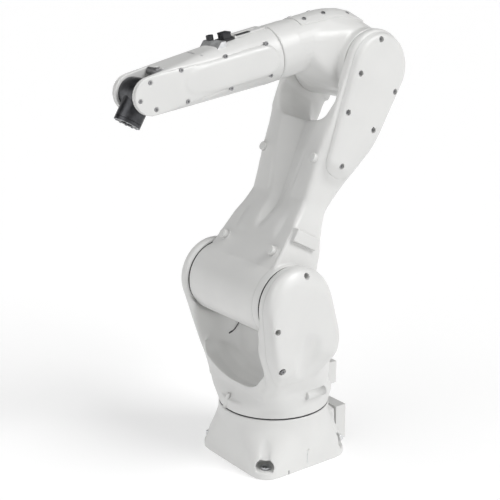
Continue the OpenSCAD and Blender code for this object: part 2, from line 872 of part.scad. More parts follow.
module forearm_right_cover() color(paint) forearm_frame() forearm_side_cover(-1, motor_6_x);

module forearm_screws() color(dark) forearm_frame() {
  forearm_screw_places(1) screw();
  forearm_screw_places(-1) screw();
}

module service_plate() color(metal) forearm_frame() difference() {
  box([seam_x + 7, -14, plate_z], [241, 14, plate_z + 4.5]);
  box([seam_x + 16, -3, plate_z + 1.5], [230, 3, plate_z + 6]);
}

module valve_block() color(dark) forearm_frame() difference() {
  union() {
    box([242, -12, plate_z], [266, 14, plate_z + 2.5]);
    box([246, -6, plate_z + 2], [261, 11, plate_z + 10.5]);
  }
  for (y = [-1, 6]) translate([260, y, plate_z + 6.5]) rotate([0, 90, 0]) cylinder(r = 2.2, h = 3);
}

module valve_block_lid() color(metal) forearm_frame()
  box([245.5, -6.5, plate_z + 10.5], [261.5, 11.5, plate_z + 13.5]);

module connector_bracket() color(metal) forearm_frame() difference() {
  rotate([90, 0, 0]) translate([0, 0, -26]) linear_extrude(height = 52)
    polygon([[268.5, 34], [288, 34], [288, 38], [278, 48], [268.5, 48]]);
  forearm_form();
  translate([272, -14, 40]) cylinder(r = 3.6, h = 20);
}

module round_connector() color(dark) forearm_frame() translate([272, -14, 0]) difference() {
  union() {
    translate([0, 0, 46.5]) cylinder(r = 3.4, h = 3);
    translate([0, 0, 48]) cylinder(r = 6.2, h = 8);
  }
  translate([0, 0, 52]) cylinder(r = 4, h = 6);
}

module j4_output_hub() color(metal) forearm_frame() difference() {
  cyl_x(j4_hub_r, 138, seam_x + 12);
  cyl_x(10, 130, seam_x + 20);
}

module j5_motor() color(dark) forearm_frame() translate([motor_5_x, 0, 0]) {
  cyl_y(17.6, -24, belt_y - 2);
  cyl_y(3, belt_y - 3, belt_y - 0.7);
}

module j6_motor() color(dark) forearm_frame() translate([motor_6_x, 0, 0]) {
  cyl_y(17.6, -belt_y + 2, 24);
  cyl_y(3, -belt_y + 0.7, -belt_y + 3);
}

module j5_belt() color(dark) forearm_frame()
  belt_xz([motor_5_x, 0], small_drive_r, [forearm_len, 0], small_driven_r, belt_y, small_belt_w);

module j6_belt() color(dark) forearm_frame()
  belt_xz([motor_6_x, 0], small_drive_r, [forearm_len, 0], small_driven_r, -belt_y - small_belt_w,
          small_belt_w);

module j5_motor_pulley() color(metal) forearm_frame() translate([motor_5_x, 0, 0])
  pulley_y(small_drive_r, belt_y, small_belt_w, 2.8, belt_y - 0.3, belt_y + 1);

module j6_motor_pulley() color(metal) forearm_frame() translate([motor_6_x, 0, 0])
  pulley_y(small_drive_r, -belt_y - small_belt_w, small_belt_w, 2.8, -belt_y - 1, -belt_y + 0.3);

module j5_input_pulley() color(metal) forearm_frame() translate([forearm_len, 0, 0])
  pulley_y(small_driven_r, belt_y, small_belt_w, 5, 8, belt_y + 1);

module j6_input_pulley() color(metal) forearm_frame() translate([forearm_len, 0, 0])
  pulley_y(small_driven_r, -belt_y - small_belt_w, small_belt_w, 5, -belt_y - 1, -8);

// ---- Wrist -----------------------------------------------------------------

module wrist_body() color(dark) wrist_frame() difference() {
  union() {
    cyl_y(drum_r, -drum_half, drum_half);
    cylinder(r = flange_r, h = flange_reach - 6);
  }
  cyl_y(20, 12, drum_half - 1);
  cyl_y(6, -drum_half - over, -6);
  cyl_y(6, 6, drum_half + over);
  translate([0, 0, 16]) cylinder(r = 15, h = 12);
  translate([0, 0, 26]) cylinder(r = 19, h = 30);
}

module j5_reducer() color(metal) wrist_frame() ring_y(19.9, 5.4, 12, drum_half - 1.5);

module j6_reducer() color(metal) wrist_frame() difference() {
  translate([0, 0, 26]) cylinder(r = 19, h = 14);
  cylinder(r = 14 + run, h = 60);
}

module tool_flange() color(metal) wrist_frame() difference() {
  union() {
    translate([0, 0, flange_reach - 5.2]) cylinder(r = flange_r, h = 5.2);
    translate([0, 0, 40.6]) cylinder(r = 18.6, h = 8);
    translate([0, 0, 21]) cylinder(r = 14, h = 21);
  }
  translate([0, 0, flange_reach - 6]) cylinder(r = tool_bore_r, h = 8);
  for (a = [45 : 90 : 315]) rotate([0, 0, a]) translate([tool_pcd / 2, 0, flange_reach - 10])
    cylinder(r = 2.1, h = 12);
  translate([0, tool_pcd / 2, flange_reach - 4]) cylinder(r = 1.5, h = 6);
}

base_casting();
base_bottom_plate();
rear_connector_box();
rear_connector_panel();
rear_connectors();
rear_air_fittings();
base_screws();
j1_motor();
j1_reducer();
turret_casting();
turret_left_cover();
turret_rear_cover();
turret_screws();
cable_clip();
j1_output_hub();
j2_motor();
j2_output_hub();
j2_trunnion();
upper_arm_casting();
belt_cover();
elbow_right_cap();
arm_screws();
arm_plugs();
j2_reducer();
j2_bearing();
j3_motor();
j3_belt();
j3_output_hub();
j3_trunnion();
j3_motor_pulley();
j3_input_pulley();
elbow_housing();
elbow_top_cover();
elbow_screws();
j3_reducer();
j3_bearing();
j4_motor();
j4_reducer();
forearm_casting();
forearm_left_cover();
forearm_right_cover();
forearm_screws();
service_plate();
connector_bracket();
round_connector();
valve_block();
valve_block_lid();
j4_output_hub();
j5_motor();
j6_motor();
j5_belt();
j6_belt();
j5_motor_pulley();
j6_motor_pulley();
j5_input_pulley();
j6_input_pulley();
wrist_body();
j5_reducer();
j6_reducer();
tool_flange();
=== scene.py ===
import json
import math

import bmesh
import bpy
import numpy as np
from mathutils import Matrix, Vector

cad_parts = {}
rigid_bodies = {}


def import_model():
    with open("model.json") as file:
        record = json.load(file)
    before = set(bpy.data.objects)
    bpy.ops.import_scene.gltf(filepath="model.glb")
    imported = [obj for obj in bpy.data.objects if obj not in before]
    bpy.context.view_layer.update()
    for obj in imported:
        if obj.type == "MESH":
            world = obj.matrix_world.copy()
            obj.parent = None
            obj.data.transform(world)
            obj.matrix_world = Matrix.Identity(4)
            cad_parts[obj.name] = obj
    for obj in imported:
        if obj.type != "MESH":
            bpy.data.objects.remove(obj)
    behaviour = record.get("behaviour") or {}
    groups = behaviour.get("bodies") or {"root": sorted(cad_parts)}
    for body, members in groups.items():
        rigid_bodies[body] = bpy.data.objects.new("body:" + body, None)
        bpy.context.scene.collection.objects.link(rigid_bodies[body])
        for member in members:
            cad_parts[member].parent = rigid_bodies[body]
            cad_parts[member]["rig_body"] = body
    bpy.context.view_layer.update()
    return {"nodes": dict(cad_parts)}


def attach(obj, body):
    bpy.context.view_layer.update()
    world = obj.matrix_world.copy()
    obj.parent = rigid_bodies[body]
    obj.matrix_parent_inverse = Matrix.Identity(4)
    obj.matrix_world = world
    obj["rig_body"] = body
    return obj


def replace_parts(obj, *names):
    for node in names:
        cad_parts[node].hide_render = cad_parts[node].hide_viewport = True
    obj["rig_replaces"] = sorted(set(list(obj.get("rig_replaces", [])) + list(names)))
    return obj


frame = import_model()
NODES = frame["nodes"]
MM_PER_M = 1000     # shapes are written in millimetres, Blender works in metres
SCENE = bpy.context.scene
SCENE.view_settings.view_transform = "Standard"


# ---------------------------------------------------------------- camera, light and floor

def aim(obj, at):
    """Turns a camera or lamp towards a point."""
    obj.rotation_euler = (Vector(at) - obj.location).to_track_quat("-Z", "Y").to_euler()


cam = bpy.data.objects.new("camera", bpy.data.cameras.new("camera"))
SCENE.collection.objects.link(cam)
cam.data.sensor_width = 36.0
cam.data.lens = 77.35
cam.data.clip_end = 120
cam.location = (1.16456, 1.47467, 0.93047)
aim(cam, (0.07799, 0.03002, 0.41452))
SCENE.camera = cam


def sun(name, towards, strength, spread):
    """A soft lamp that shines from a direction; spread is its width in degrees."""
    lamp = bpy.data.lights.new(name, "SUN")
    lamp.energy = strength
    lamp.angle = math.radians(spread)
    o = bpy.data.objects.new(name, lamp)
    SCENE.collection.objects.link(o)
    o.location = towards
    aim(o, (0, 0, 0))


sun("key", (-1.0, 2.1, 2.0), 2.15, 34)
sun("top", (0.8, -0.2, 3.0), 0.9, 60)
sun("fill", (1.7, 0.2, 1.5), 0.62, 50)

# The sky is bright near the horizon and dark above, which gives glossy parts a horizon to show.
world = bpy.data.worlds.new("studio")
SCENE.world = world
world.use_nodes = True
sky = world.node_tree
sky_ramp = sky.nodes.new("ShaderNodeMapRange")
sky_ramp.inputs["From Min"].default_value = 0.10
sky_ramp.inputs["From Max"].default_value = 0.30
sky_ramp.inputs["To Min"].default_value = 0.95
sky_ramp.inputs["To Max"].default_value = 0.02
sky_split = sky.nodes.new("ShaderNodeSeparateXYZ")
sky_coord = sky.nodes.new("ShaderNodeTexCoord")
sky.links.new(sky_coord.outputs["Generated"], sky_split.inputs["Vector"])
sky.links.new(sky_split.outputs["Z"], sky_ramp.inputs["Value"])
sky.nodes["Background"].inputs["Color"].default_value = (1, 1, 1, 1)
sky.links.new(sky_ramp.outputs["Result"], sky.nodes["Background"].inputs["Strength"])


# ---------------------------------------------------------------- materials

class Shader:
    """A node material built around one Principled shader."""

    def __init__(self, name, color, roughness, metallic=0.0, **sockets):
        self.mat = bpy.data.materials.new(name)
        self.mat.use_nodes = True
        self.tree = self.mat.node_tree
        self.bsdf = self.tree.nodes["Principled BSDF"]
        self.set("Base Color", (*color, 1))
        self.set("Roughness", roughness)
        self.set("Metallic", metallic)
        for key, value in sockets.items():
            self.set(key.replace("_", " "), value)
        self.coords = self.tree.nodes.new("ShaderNodeTexCoord")

    def set(self, socket, value):
        self.bsdf.inputs[socket].default_value = value

    def node(self, kind, **values):
        """A new node, with values for its inputs or, where it has no such input, its settings."""
        n = self.tree.nodes.new(kind)
        for key, value in values.items():
            if key in n.inputs:
                n.inputs[key].default_value = value
            else:
                setattr(n, key, value)
        return n

    def link(self, a, b):
        self.tree.links.new(a, b)

    def noise(self, scale, detail, roughness=0.5, stretch=None):
        """Noise that stays with the object; stretch multiplies the scale along each axis."""
        n = self.node("ShaderNodeTexNoise", Scale=scale, Detail=detail, Roughness=roughness)
        source = self.coords.outputs["Object"]
        if stretch:
            m = self.node("ShaderNodeMapping")
            m.inputs["Scale"].default_value = stretch
            self.link(source, m.inputs["Vector"])
            source = m.outputs["Vector"]
        self.link(source, n.inputs["Vector"])
        return n.outputs["Fac"]

    def ramp(self, fac, a, b):
        """Spreads the middle of a noise, from 0.3 to 0.7, over the values a to b."""
        r = self.node("ShaderNodeMapRange")
        r.inputs["From Min"].default_value = 0.3
        r.inputs["From Max"].default_value = 0.7
        r.inputs["To Min"].default_value = a
        r.inputs["To Max"].default_value = b
        self.link(fac, r.inputs["Value"])
        return r.outputs["Result"]

    def tint(self, fac, a, b):
        """A colour between a and b. The Mix node's colour sockets only have numbers."""
        factor, color_a, color_b, result = 0, 6, 7, 2
        m = self.node("ShaderNodeMix", data_type="RGBA")
        self.link(fac, m.inputs[factor])
        m.inputs[color_a].default_value = (*a, 1)
        m.inputs[color_b].default_value = (*b, 1)
        return m.outputs[result]

    def bump(self, *layers):
        """Bump layers on each other: each is a height, its strength and its depth in metres."""
        normal = None
        for fac, strength, distance in layers:
            b = self.node("ShaderNodeBump")
            b.inputs["Strength"].default_value = strength
            b.inputs["Distance"].default_value = distance
            self.link(fac, b.inputs["Height"])
            if normal:
                self.link(normal, b.inputs["Normal"])
            normal = b.outputs["Normal"]
        self.link(normal, self.bsdf.inputs["Normal"])


def white_paint():
    """Satin machine paint: faint orange peel, and clouds in its colour and gloss."""
    s = Shader("white_paint", (0.66, 0.66, 0.65), 0.36, Coat_Weight=0.12, Coat_Roughness=0.25)
    cloud = s.noise(9, 4)
    specks = s.noise(900, 2, 0.6)
    color = s.tint(s.ramp(cloud, 0, 1), (0.645, 0.645, 0.636), (0.69, 0.69, 0.678))
    s.link(color, s.bsdf.inputs["Base Color"])
    s.link(s.ramp(s.noise(60, 4), 0.30, 0.46), s.bsdf.inputs["Roughness"])
    s.bump((s.noise(420, 2), 0.10, 0.0006), (specks, 0.05, 0.0003))
    return s.mat


def dark_metal(name, color, roughness, grain=1.0):
    """Blasted and coloured metal, with a fine grain."""
    s = Shader(name, color, roughness, 0.85)
    light = tuple(min(1, c * 1.7 + 0.015) for c in color)
    s.link(s.tint(s.ramp(s.noise(55, 4), 0, 1), color, light), s.bsdf.inputs["Base Color"])
    s.link(s.ramp(s.noise(160, 3), roughness - 0.08, roughness + 0.12), s.bsdf.inputs["Roughness"])
    s.bump((s.noise(1100, 2), 0.16 * grain, 0.0003))
    return s.mat


def brushed(name, color, roughness):
    """Bare machined metal, with streaks along one direction."""
    s = Shader(name, color, roughness, 1.0)
    streak = s.noise(1.0, 4, 0.6, stretch=(40, 40, 900))
    dark = tuple(c * 0.82 for c in color)
    s.link(s.tint(s.ramp(streak, 0, 1), dark, color), s.bsdf.inputs["Base Color"])
    s.link(s.ramp(streak, roughness - 0.07, roughness + 0.1), s.bsdf.inputs["Roughness"])
    s.bump((streak, 0.12, 0.0002))
    return s.mat


def plastic(name, color, roughness=0.48, grain=1.0):
    """Moulded plastic or rubber, with a fine grain."""
    s = Shader(name, color, roughness)
    light = tuple(min(1, c * 1.35 + 0.01) for c in color)
    s.link(s.tint(s.ramp(s.noise(30, 4), 0, 1), color, light), s.bsdf.inputs["Base Color"])
    s.link(s.ramp(s.noise(220, 3), roughness - 0.07, roughness + 0.1), s.bsdf.inputs["Roughness"])
    s.bump((s.noise(1500, 2), 0.22 * grain, 0.0003))
    return s.mat


MATERIALS = {
    "white_paint": white_paint(),
    "bare_steel": brushed("bare_steel", (0.58, 0.59, 0.61), 0.30),
    "black_plastic": plastic("black_plastic", (0.022, 0.022, 0.024)),
    "black_anodised": dark_metal("black_anodised", (0.03, 0.03, 0.033), 0.42),
    "black_wrist": dark_metal("black_wrist", (0.055, 0.056, 0.06), 0.36),
    "motor_black": dark_metal("motor_black", (0.022, 0.022, 0.025), 0.5, 1.6),
    "dark_screws": dark_metal("dark_screws", (0.24, 0.24, 0.245), 0.42),
    "belt_rubber": plastic("belt_rubber", (0.018, 0.018, 0.018), 0.75, 2.0),
    "grey_metal": dark_metal("grey_metal", (0.56, 0.565, 0.57), 0.42),
    "nickel_brass": brushed("nickel_brass", (0.60, 0.57, 0.50), 0.28),
}


def paint(obj, slot):
    """Gives an object its one material."""
    obj.data.materials.clear()
    obj.data.materials.append(MATERIALS[slot])
    return obj


SLOT_OF = {n: "bare_steel" for n in NODES}
for n in ("base_casting base_bottom_plate rear_connector_box rear_connector_panel turret_casting "
          "turret_left_cover turret_rear_cover upper_arm_casting arm_plugs belt_cover elbow_housing "
          "elbow_top_cover forearm_casting forearm_left_cover forearm_right_cover service_plate").split():
    SLOT_OF[n] = "white_paint"
for n in NODES:
    if n.endswith("_motor"):
        SLOT_OF[n] = "motor_black"
    if n.endswith("_belt"):
        SLOT_OF[n] = "belt_rubber"
    if n.endswith("_screws"):
        SLOT_OF[n] = "dark_screws"
SLOT_OF.update({
    "rear_connectors": "black_plastic",
    "rear_air_fittings": "nickel_brass",
    "connector_bracket": "grey_metal",
    "round_connector": "black_plastic",
    "valve_block": "black_plastic",
    "valve_block_lid": "black_anodised",
    "wrist_body": "black_wrist",
    "tool_flange": "black_wrist",
})


# ---------------------------------------------------------------- mesh tools

def new_object(name, mesh):
    o = bpy.data.objects.new(name, mesh)
    SCENE.collection.objects.link(o)
    return o


def evaluated(o):
    """The object's mesh with its modifiers applied."""
    bpy.context.view_layer.update()
    depsgraph = bpy.context.evaluated_depsgraph_get()
    return bpy.data.meshes.new_from_object(o.evaluated_get(depsgraph), depsgraph=depsgraph)


def points(mesh):
    """The mesh's points in metres, one row each."""
    co = np.zeros(len(mesh.vertices) * 3)
    mesh.vertices.foreach_get("co", co)
    return co.reshape(-1, 3)


def relax(mesh, rounds, weight=1.0):
    """Moves each vertex halfway to the middle of its neighbours, times its weight."""
    co = points(mesh)
    edges = np.zeros(len(mesh.edges) * 2, int)
    mesh.edges.foreach_get("vertices", edges)
    a, b = edges.reshape(-1, 2).T
    count = len(co)
    degree = np.maximum(np.bincount(a, minlength=count) + np.bincount(b, minlength=count), 1)
    pace = np.full(count, 0.5) * weight
    for _ in range(rounds):
        total = np.empty_like(co)
        for k in range(3):
            ahead = np.bincount(a, co[b, k], minlength=count)
            behind = np.bincount(b, co[a, k], minlength=count)
            total[:, k] = ahead + behind
        co += (total / degree[:, None] - co) * pace[:, None]
    mesh.vertices.foreach_set("co", co.ravel())
    mesh.update()


def carve(o, cuts):
    """Takes closed meshes out of an object, one after the other."""
    tools = [new_object("tool", mesh) for mesh in cuts]
    for tool in tools:
        m = o.modifiers.new("Cut", "BOOLEAN")
        m.operation = "DIFFERENCE"
        m.solver = "EXACT"
        m.object = tool
    o.data = evaluated(o)
    o.modifiers.clear()
    for tool in tools:
        bpy.data.objects.remove(tool)


def cast(node, voxel, rounds, zones=(), cuts=(), adds=()):
    """A CAD casting as poured metal: the same form with every edge softly rounded.
    zones are (function of the points in millimetres giving 0..1, rounds) for softer regions.
    cuts and adds are closed meshes taken out of it or merged into it first."""
    o = new_object("cast_" + node, NODES[node].data.copy())
    o.data.materials.clear()
    if cuts:
        carve(o, cuts)
    if adds:
        bm = bmesh.new()
        bm.from_mesh(o.data)
        for mesh in adds:
            bm.from_mesh(mesh)
        bm.to_mesh(o.data)
        bm.free()
    m = o.modifiers.new("Remesh", "REMESH")
    m.mode = "VOXEL"
    m.voxel_size = voxel * 1.0
    m.use_smooth_shade = True
    mesh = evaluated(o)
    o.modifiers.clear()
    o.data = mesh
    fewer = 1
    for pick, times in zones:
        relax(mesh, max(1, times // fewer), pick(points(mesh) * MM_PER_M))
    relax(mesh, max(1, rounds // fewer))
    mesh.polygons.foreach_set("use_smooth", [True] * len(mesh.polygons))
    paint(o, SLOT_OF[node])
    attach(o, NODES[node]["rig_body"])
    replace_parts(o, node)
    return o


def from_rows(verts, faces, matrix=None):
    """A mesh from points in millimetres."""
    mesh = bpy.data.meshes.new("rows")
    mesh.from_pydata([tuple(v) for v in np.asarray(verts, float) / MM_PER_M], [], faces)
    if matrix is not None:
        mesh.transform(matrix)
    bm = bmesh.new()
    bm.from_mesh(mesh)
    bmesh.ops.recalc_face_normals(bm, faces=bm.faces)
    bm.to_mesh(mesh)
    bm.free()
    return mesh


def loft(rings, matrix=None):
    """A closed skin through rings of equally many points, capped at both ends."""
    n = len(rings[0])
    verts = np.concatenate(rings)
    faces = []
    for k in range(len(rings) - 1):
        for i in range(n):
            j = (i + 1) % n
            faces.append((k * n + i, k * n + j, (k + 1) * n + j, (k + 1) * n + i))
    faces.append(tuple(range(n))[::-1])
    faces.append(tuple((len(rings) - 1) * n + i for i in range(n)))
    return from_rows(verts, faces, matrix)


OUTLINE = 160       # points round a cover's outline


def circle_hull(circles, count=OUTLINE):
    """Outline round a chain of circles (x, z, radius)."""
    least_radius = 0.5
    out = []
    for i in range(count):
        t = 2 * math.pi * i / count
        n = np.array([math.cos(t), math.sin(t)])
        best = max(circles, key=lambda c: c[0] * n[0] + c[1] * n[1] + c[2])
        out.append(np.array(best[:2]) + n * max(best[2], least_radius))
    return np.array(out)


def upright(flat, y):
    """An outline in x and z, set at one y."""
    return np.column_stack([flat[:, 0], np.full(len(flat), y), flat[:, 1]])


def dome_mesh(circles, profile, matrix, crown=0.0, side=1, bend=None):
    """A crowned cover: profile is (inset, y) from its open rim to its face."""
    crown_steps = 12
    middle_radius = 0.6
    last_inset, last_y = profile[-1]
    steps = [(inset, y, 0.0) for inset, y in profile]
    for k in range(1, crown_steps + 1):
        shrink = k / crown_steps
        steps.append((last_inset, last_y + crown * (1 - (1 - shrink) ** 2), shrink))
    rings = []
    for inset, y, shrink in steps:
        inner = [(x, z, (r - inset) * (1 - shrink) + middle_radius * shrink) for x, z, r in circles]
        ring = upright(circle_hull(inner), side * y)
        rings.append(bend(ring) if bend else ring)
    return loft(rings, matrix)


def shoulder_mesh(rim, face, profile, bend):
    """A cover whose outline changes from rim to face: profile is (share of the way, y)."""
    middle_steps = 10
    middle_radius = 6
    smallest = min(c[2] for c in face)
    last_share, last_y = profile[-1]
    steps = [(share, y, 0.0) for share, y in profile]
    steps += [(last_share, last_y, k / middle_steps) for k in range(1, middle_steps + 1)]
    rings = []
    for share, y, shrink in steps:
        circles = []
        for a, b in zip(rim, face):
            x, z, r = (a[i] + (b[i] - a[i]) * share for i in range(3))
            circles.append((x, z, r - (smallest - middle_radius) * shrink))
        rings.append(bend(upright(circle_hull(circles), y)))
    return loft(rings)


def rod_mesh(a, b, r0, r1, count=40, round_end=0.0):
    """A round bar from a to b in millimetres, with an optional rounded far edge."""
    a, b = np.array(a, float), np.array(b, float)
    length = np.linalg.norm(b - a)
    axis = (b - a) / length
    side = np.cross(axis, (0, 0, 1) if abs(axis[2]) < 0.9 else (1, 0, 0))
    side /= np.linalg.norm(side)
    up = np.cross(axis, side)
    stations = [(0.0, r0)]
    if round_end > 0:
        edge_steps = 6
        for k in range(edge_steps + 1):
            t = math.pi / 2 * k / edge_steps
            along = length - round_end + round_end * math.sin(t)
            stations.append((along, r1 - round_end * (1 - math.cos(t))))
    else:
        stations.append((length, r1))
    rings = []
    for d, r in stations:
        t = np.linspace(0, 2 * math.pi, count, endpoint=False)
        rings.append(a + axis * d + r * (np.outer(np.cos(t), side) + np.outer(np.sin(t), up)))
    return loft(rings)


def moved(mesh, matrix):
    """A mesh brought from a local frame into the world."""
    mesh.transform(matrix)
    return mesh


def frame_at(place, pitch):
    """Local frame at a point in millimetres, turned by pitch degrees about +Y."""
    return Matrix.Translation(Vector(place) / MM_PER_M) @ Matrix.Rotation(math.radians(pitch), 4, "Y")


def circle_ring(centre, z, r, count=40):
    """A level circle round a centre in x and y."""
    t = np.linspace(0, 2 * math.pi, count, endpoint=False)
    return np.column_stack([centre[0] + r * np.cos(t), centre[1] + r * np.sin(t), np.full(count, float(z))])


def strip_ring(centre, r):
    """Cross-section of a flat bent strip that leans outwards."""
    t = np.linspace(0, 2 * math.pi, 16, endpoint=False)
    return np.array(centre) + np.column_stack([r * np.cos(t), 0.35 * r * np.sin(t), 0.9 * r * np.sin(t)])


# Local frames at rest: ARM has +Z along the upper arm from the shoulder axis, FORE has +X along
# the forearm's roll axis from above the elbow, and WRIST has +Z out of the flange from the bending axis.
SHOULDER_AXIS = (52, 0, 332)
ARM = frame_at(SHOULDER_AXIS, -28.33)
FORE = frame_at((-148.29, 0, 779.81), 10.8)
WRIST = frame_at((274.09, 0, 699.24), 149.3)


def finish_edges(o, width, segments=3):
    """Rounds the sharp edges, and lets the large faces set the shading."""
    if width:
        b = o.modifiers.new("Bevel", "BEVEL")
        b.width = width
        b.segments = segments
        b.limit_method = "ANGLE"
        b.angle_limit = math.radians(32)
    n = o.modifiers.new("Normals", "WEIGHTED_NORMAL")
    n.keep_sharp = False
    n.weight = 80


def box_mesh(lo, hi, matrix):
    """A box between two corners, whose edges its piece rounds."""
    x0, y0, z0 = lo
    x1, y1, z1 = hi
    rings = [np.array([(x0, y0, z), (x1, y0, z), (x1, y1, z), (x0, y1, z)], float) for z in (z0, z1)]
    return loft(rings, matrix)


def piece(name, mesh, slot, body, bevel=0.0):
    """A new smooth-shaded piece with a material, which rides on a body."""
    o = new_object(name, mesh)
    mesh.polygons.foreach_set("use_smooth", [True] * len(mesh.polygons))
    finish_edges(o, bevel)
    paint(o, slot)
    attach(o, body)
    return o


def smoothstep(x, a, b):
    """0 up to a, 1 from b on, and a smooth rise between."""
    t = np.clip((x - a) / (b - a), 0, 1)
    return t * t * (3 - 2 * t)


# ---------------------------------------------------------------- castings

def local(p, matrix):
    """Points in millimetres seen from a local frame."""
    m = np.array(matrix.inverted())
    return p @ m[:3, :3].T + m[:3, 3] * MM_PER_M


def fork_edges(p):
    """Soft zone: the inner edges of the upper arm's fork."""
    z = local(p, ARM)[:, 2]
    along = smoothstep(z, 262, 285) * (1 - smoothstep(z, 372, 392))
    return along * (1 - smoothstep(np.abs(p[:, 1]), 76, 84))


def valley_mesh():
    """Front of the arm: a long V-shaped valley that widens towards the fork.
    Each row is height, front face, bottom of the valley and its half width."""
    rear, wide = -8, 52
    rings = []
    for z, front, bottom, half in (
            (96, 44, 43.5, 1.5), (110, 42, 38, 5), (124, 39.5, 30, 9), (138, 35.5, 23.5, 13),
            (157, 28.6, 18.6, 18), (174, 27.2, 18.8, 22), (190, 27.4, 19.4, 25), (205, 29.8, 20.4, 28),
            (235, 36.2, 23, 34), (264, 43.2, 26, 40), (294, 47, 28, 46), (318, 49, 29, 51)):
        rings.append(np.array([
            (rear, -wide, z), (front, -wide, z), (front, -half, z), (bottom, 0, z),
            (front, half, z), (front, wide, z), (rear, wide, z)], float))
    return loft(rings, ARM)


def crotch_mesh():
    """Keeps the gap between the arms of the fork open, with a broad slope at its foot.
    Each row is x, the height of the foot and half the width of the gap."""
    top = 378
    rings = []
    for x, foot, half in ((-75, 264, 78), (-45, 284, 76), (-26, 303, 74), (0, 304.5, 73), (26, 303, 73),
                          (48, 288, 75), (75, 262, 80)):
        left = [(x, half * share, foot + rise) for share, rise in ((0.42, 12), (0.82, 36), (1, 66))]
        left.append((x, half, top))
        right = [(x, -y, z) for _, y, z in reversed(left)]
        rings.append(np.array([(x, 0, foot)] + left + right, float))
    return loft(rings, ARM)


def waist_mesh():
    """Smooth wall from the turning ring up to the cheeks, round below and boxy above.
    Each row is height, reach to the front, side and rear, and squareness (2 is round)."""
    rings = []
    for z, front, side, rear, square in (
            (106.6, 103.4, 103.4, 103.4, 2.0), (114, 103.2, 103.2, 103.2, 2.15),
            (121, 101.6, 103.2, 101, 2.5), (128, 98.8, 103.4, 97, 3.1),
            (136, 95.5, 105, 91, 3.8), (144, 92.6, 107.5, 84, 4.4),
            (151, 90.8, 109.8, 78, 4.8), (155, 90.4, 110.4, 74, 5.0)):
        ring = []
        for i in range(120):
            t = 2 * math.pi * i / 120
            c, n = math.cos(t), math.sin(t)
            power = 2 / (square if c > 0 else 1 + square / 2)
            ring.append(((front if c > 0 else rear) * math.copysign(abs(c) ** power, c),
                         side * math.copysign(abs(n) ** power, n), z))
        rings.append(np.array(ring, float))
    return loft(rings)


def lip_mesh():
    """Rim of the scoop: a bowl's edge that climbs towards both cheeks."""
    half_width, foot, cheek_top, depth = 94, 148, 228, 66
    steps = 46
    rings = []
    for k in range(steps + 1):
        y = -half_width + 2 * half_width * k / steps
        roundness = 2.0 if y < 0 else 3.0
        top = cheek_top - depth * math.sqrt(max(0.0, 1 - abs(y / 94.5) ** roundness))
        pull = 9 * min(1.0, max(0.0, (abs(y) - 74) / 20)) ** 2
        front = [(90.5 + 0.25 * max(0.0, z - 158) - pull, y, z) for z in np.linspace(foot, top, 8)]
        behind = [(72, y, top - 3), (52, y, top + 3), (34, y, top + 14)]
        rings.append(np.array([(34, y, foot)] + front + behind, float))
    return loft(rings)


CORNERS = [(sx, sy) for sx in (-1, 1) for sy in (-1, 1)]    # of the base: front or rear, left or right


def pocket_cuts():
    """Wide foot of each bolt pocket and the two shallow flutes beside it."""
    foot = ((14, 17.5), (22, 18.0), (29, 16), (34, 11), (40, 5))    # height, radius
    flute = ((22, 18, 3), (30, 14, 6.5), (42, 7, 9), (54, 0, 10),
             (66, -8, 9), (78, -17, 5), (86, -24, 1.5))             # height, lean outwards, radius
    out = []
    for sx, sy in CORNERS:
        out.append(loft([circle_ring((sx * 85, sy * 85), z, r) for z, r in foot]))
        for dx, dy in ((1.0, 0.42), (0.42, 1.0)):
            rings = []
            for z, lean, r in flute:
                x, y = [84 + lean * 0.72 + 33 * (d - 0.42) for d in (dx, dy)]
                rings.append(circle_ring((sx * x, sy * y), z, r))
            out.append(loft(rings))
    return out


def pocket_backs():
    """Back wall of each bolt pocket, so that it tapers to a shallow groove above."""
    wall = ((32, 57.4), (38, 56.6), (50, 53.4), (64, 49.6), (76, 46.5))     # height, centre
    return [loft([circle_ring((sx * c, sy * c), z, 40, 72) for z, c in wall]) for sx, sy in CORNERS]


def base_walls(p):
    """Soft zone: the walls of the base between its foot and its top."""
    return smoothstep(p[:, 2], 30, 44) * (1 - smoothstep(p[:, 2], 88, 100))


def pulled_in(ring, wall, low, high):
    """Brings what stands outside the wall back to it, fully below low and not at all above high."""
    fall = 1 - smoothstep(ring[:, 2], low, high)
    out = ring.copy()
    out[:, 1] = ring[:, 1] - (ring[:, 1] - wall) * np.where(ring[:, 1] > wall, fall, 0)
    return out


def egg_bend(ring):
    """Brings the foot of the egg-shaped cover back to the wall of the waist."""
    return pulled_in(ring, 102, 146, 236)


def belt_bend(ring):
    """Brings the foot of the belt cover back to the side of the arm."""
    return pulled_in(ring, 84, 221, 262)


def outer_turret(p):
    """Soft zone: the outsides of both cheeks, but not the right one's outermost face,
    and less of the upper part of the left one's cover."""
    side = smoothstep(np.abs(p[:, 1]), 84, 94)
    left = p[:, 1] > 0
    edge = np.where(left, 1.0, 1 - smoothstep(np.abs(p[:, 1]), 121, 123.5))
    low = np.where(left & (p[:, 1] > 118), 1 - 0.6 * smoothstep(p[:, 2], 215, 270), 1.0)
    return side * smoothstep(p[:, 2], 124, 140) * edge * low


def arm_sides(p):
    """Soft zone: the sides of the upper arm in as far as the belt cover, and that cover's foot."""
    q = local(p, ARM)
    foot = np.where(q[:, 1] > 0, 1 - smoothstep(q[:, 2], 236, 262), 0)
    outside = np.maximum(1 - smoothstep(np.abs(q[:, 1]), 84.5, 86.5), foot)
    along = smoothstep(np.abs(q[:, 1]), 56, 64) * smoothstep(q[:, 2], 120, 150)
    return along * (1 - smoothstep(q[:, 2], 300, 350)) * outside


